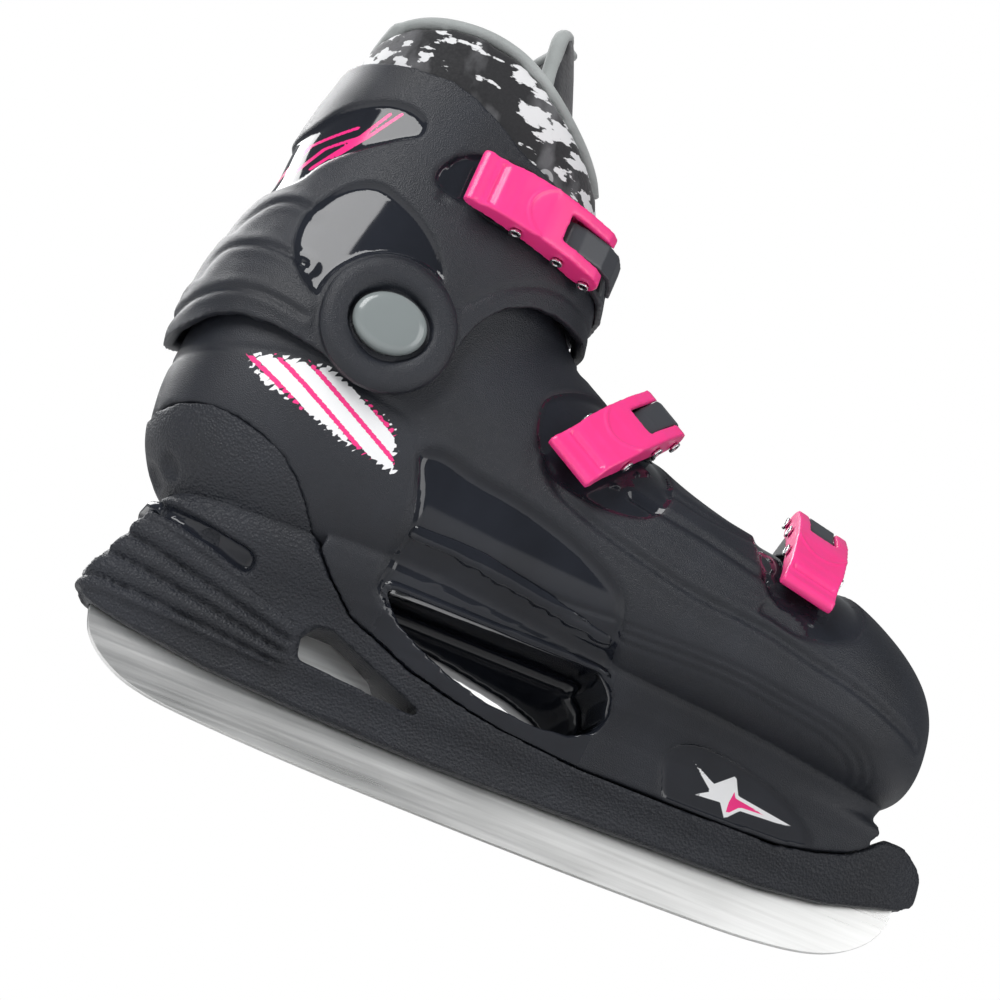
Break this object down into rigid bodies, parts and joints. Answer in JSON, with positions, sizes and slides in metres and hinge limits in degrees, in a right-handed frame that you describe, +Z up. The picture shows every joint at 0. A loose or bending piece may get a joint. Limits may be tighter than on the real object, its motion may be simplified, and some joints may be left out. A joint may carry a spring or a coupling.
{
  "type": "ice skate",
  "caption": "Hard-shell recreational ice skate with a hinged ankle cuff, ladder buckles on pivoting levers, a padded liner and a steel blade in a moulded holder.",
  "frame": {"origin": "middle of the flat stretch of the blade's running edge, on the ice, in the blade's middle plane", "axes": "+X to the toe along the blade, +Y to the inner side of the foot (the buckles are on -Y), +Z up"},
  "size_m": [0.3068, 0.1074, 0.2749],
  "materials": {
    "blade_steel": "brushed along its length, with a polished running edge",
    "holder_plastic": "coarse pebbled grain",
    "shell_plastic": "fine moulded grain with gloss recesses",
    "buckle_plastic": "satin",
    "strap_plastic": "satin, with ladder teeth",
    "lever_plastic": "smooth pink",
    "cap_plastic": "gloss",
    "fastener_steel": "polished",
    "liner_fabric": "woven, with a printed pattern",
    "binding": "rolled binding tape"
  },
  "bodies": {
    "boot": {"blade": "blade_steel", "blade_holder": "holder_plastic", "blade_bolt_rear": "fastener_steel", "blade_bolt_front": "fastener_steel", "holder_screw_heel": "fastener_steel", "holder_screw_toe": "fastener_steel", "shell": "shell_plastic", "liner_foot": "liner_fabric", "insole": "liner_fabric", "pivot_cap_outer": "cap_plastic", "pivot_rivet_outer": "fastener_steel", "pivot_cap_inner": "cap_plastic", "pivot_rivet_inner": "fastener_steel", "instep_buckle_base": "buckle_plastic", "instep_base_rivet": "fastener_steel", "instep_strap": "strap_plastic", "instep_strap_rivet": "fastener_steel", "instep_lever_pin": "fastener_steel", "toe_buckle_base": "buckle_plastic", "toe_base_rivet": "fastener_steel", "toe_strap": "strap_plastic", "toe_strap_rivet": "fastener_steel", "toe_lever_pin": "fastener_steel"},
    "cuff": {"cuff": "shell_plastic", "liner_collar": "liner_fabric", "liner_trim": "binding", "tongue": "liner_fabric", "top_buckle_base": "buckle_plastic", "top_base_rivet": "fastener_steel", "top_strap": "strap_plastic", "top_strap_rivet": "fastener_steel", "top_lever_pin": "fastener_steel"},
    "top_lever": {"top_lever": "lever_plastic", "top_link_pin": "fastener_steel", "top_latch_pin": "fastener_steel"},
    "top_link": {"top_link": "strap_plastic"},
    "instep_lever": {"instep_lever": "lever_plastic", "instep_link_pin": "fastener_steel", "instep_latch_pin": "fastener_steel"},
    "instep_link": {"instep_link": "strap_plastic"},
    "toe_lever": {"toe_lever": "lever_plastic", "toe_link_pin": "fastener_steel", "toe_latch_pin": "fastener_steel"},
    "toe_link": {"toe_link": "strap_plastic"}
  },
  "joints": [
    {"name": "cuff_pivot", "type": "hinge", "parent": "boot", "child": "cuff", "pos_m": [-0.0915, 0, 0.139], "axis": [0, 1, 0], "range_deg": [-3, 7]},
    {"name": "top_lever_hinge", "type": "hinge", "parent": "cuff", "child": "top_lever", "pos_m": [-0.03182, -0.03697, 0.19176], "axis": [0.0941, 0.118, 0.9885], "range_deg": [0, 85]},
    {"name": "top_link_hinge", "type": "hinge", "parent": "top_lever", "child": "top_link", "pos_m": [-0.04398, -0.04294, 0.19363], "axis": [0.0941, 0.118, 0.9885], "range_deg": [-70, 2]},
    {"name": "instep_lever_hinge", "type": "hinge", "parent": "boot", "child": "instep_lever", "pos_m": [0.00962, -0.02276, 0.15158], "axis": [-0.8081, 0.1972, 0.5551], "range_deg": [0, 85]},
    {"name": "instep_link_hinge", "type": "hinge", "parent": "instep_lever", "child": "instep_link", "pos_m": [0.0024, -0.03179, 0.14427], "axis": [-0.8081, 0.1972, 0.5551], "range_deg": [-70, 2]},
    {"name": "toe_lever_hinge", "type": "hinge", "parent": "boot", "child": "toe_lever", "pos_m": [0.07785, -0.01244, 0.13811], "axis": [-0.9789, 0.0217, 0.2033], "range_deg": [0, 85]},
    {"name": "toe_link_hinge", "type": "hinge", "parent": "toe_lever", "child": "toe_link", "pos_m": [0.07628, -0.02449, 0.13182], "axis": [-0.9789, 0.0217, 0.2033], "range_deg": [-70, 2]}
  ],
  "couplings": [
    {"joint": "top_link_hinge", "follows": "top_lever_hinge", "ratio": -0.75},
    {"joint": "instep_link_hinge", "follows": "instep_lever_hinge", "ratio": -0.75},
    {"joint": "toe_link_hinge", "follows": "toe_lever_hinge", "ratio": -0.75}
  ]
}
